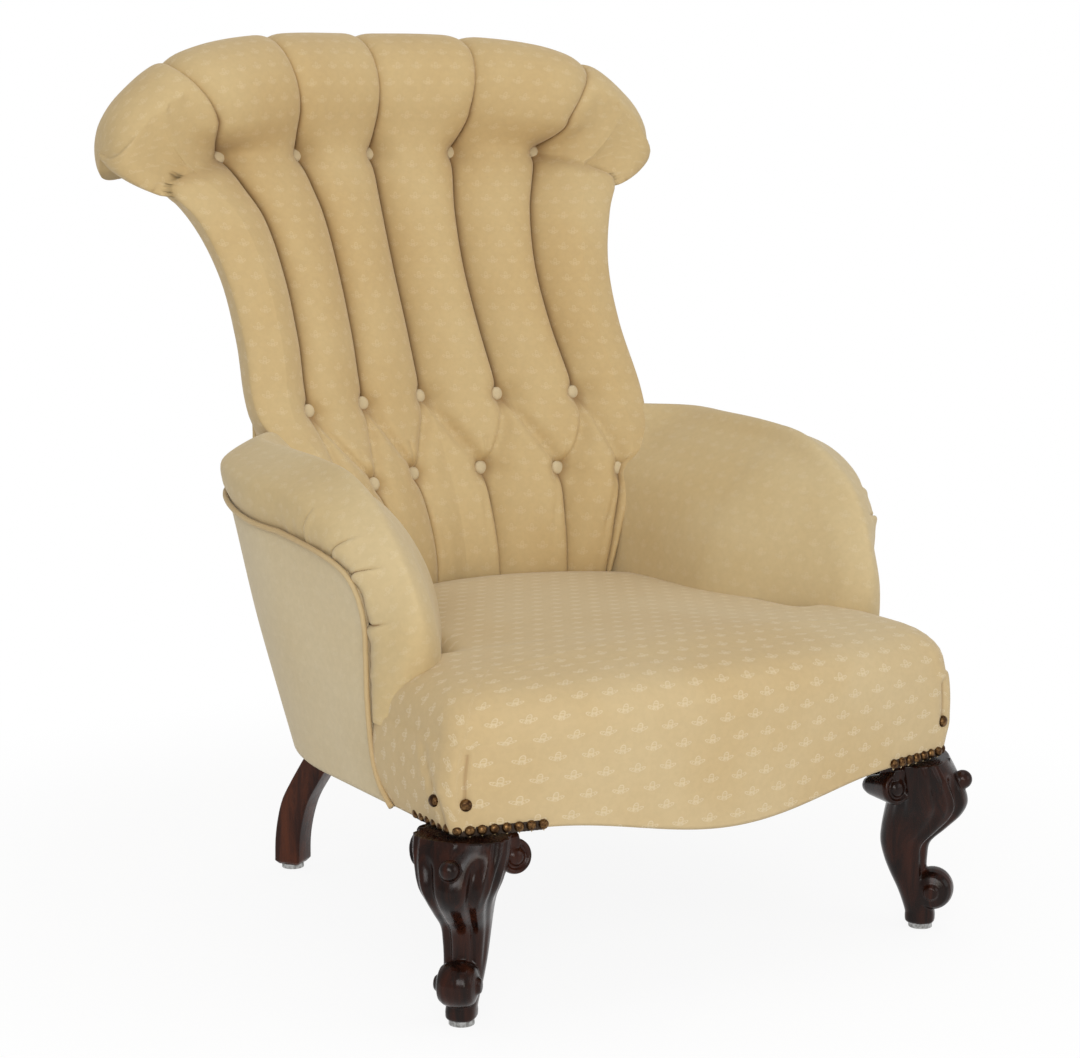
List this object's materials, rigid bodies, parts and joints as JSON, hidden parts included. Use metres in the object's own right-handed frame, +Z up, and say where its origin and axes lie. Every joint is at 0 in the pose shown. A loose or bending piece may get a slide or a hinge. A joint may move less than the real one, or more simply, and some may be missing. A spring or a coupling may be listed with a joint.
{
  "type": "nursing chair",
  "caption": "Low upholstered armchair with a buttoned, fluted back that rolls over at the top, padded arms, a bowed seat front and carved scroll-foot legs.",
  "frame": {"origin": "on the floor under the middle of the overall box", "axes": "+X to the sitter's left seen from the front of the chair, +Y to the back, +Z up"},
  "size_m": [0.676, 0.8311, 0.9003],
  "materials": {
    "damask": "pale gold woven damask upholstery",
    "stuffing": "hair and wadding stuffing",
    "hessian": "plain hessian",
    "webbing": "woven upholstery webbing",
    "lining": "black cotton bottom cloth",
    "mahogany": "dark polished mahogany",
    "beech": "plain frame timber",
    "antique_brass": "antique dome nail heads",
    "glide_steel": "plain metal glides"
  },
  "bodies": {
    "root": {"arm_pad_left": "damask", "arm_pad_right": "damask", "arm_piping_left": "damask", "arm_piping_right": "damask", "arm_post_left": "beech", "arm_post_right": "beech", "arm_rail_left": "beech", "arm_rail_right": "beech", "back_buttons": "damask", "back_hessian": "hessian", "back_piping": "damask", "back_seat_rail": "beech", "back_stay_rail": "beech", "back_top_rail": "beech", "back_webbing": "webbing", "bottom_cloth": "lining", "corner_blocks": "beech", "front_glides": "glide_steel", "front_leg_left": "mahogany", "front_leg_right": "mahogany", "front_seat_rail": "beech", "gimp_left": "damask", "gimp_right": "damask", "inside_back": "damask", "leg_nails_left": "antique_brass", "leg_nails_right": "antique_brass", "outside_arm_left": "damask", "outside_arm_right": "damask", "outside_back": "damask", "rear_glides": "glide_steel", "rear_leg_left": "mahogany", "rear_leg_right": "mahogany", "seat_cover": "damask", "seat_hessian": "hessian", "seat_stuffing": "stuffing", "seat_webbing": "webbing", "side_seat_rail_left": "beech", "side_seat_rail_right": "beech", "top_roll": "damask"}
  },
  "joints": []
}
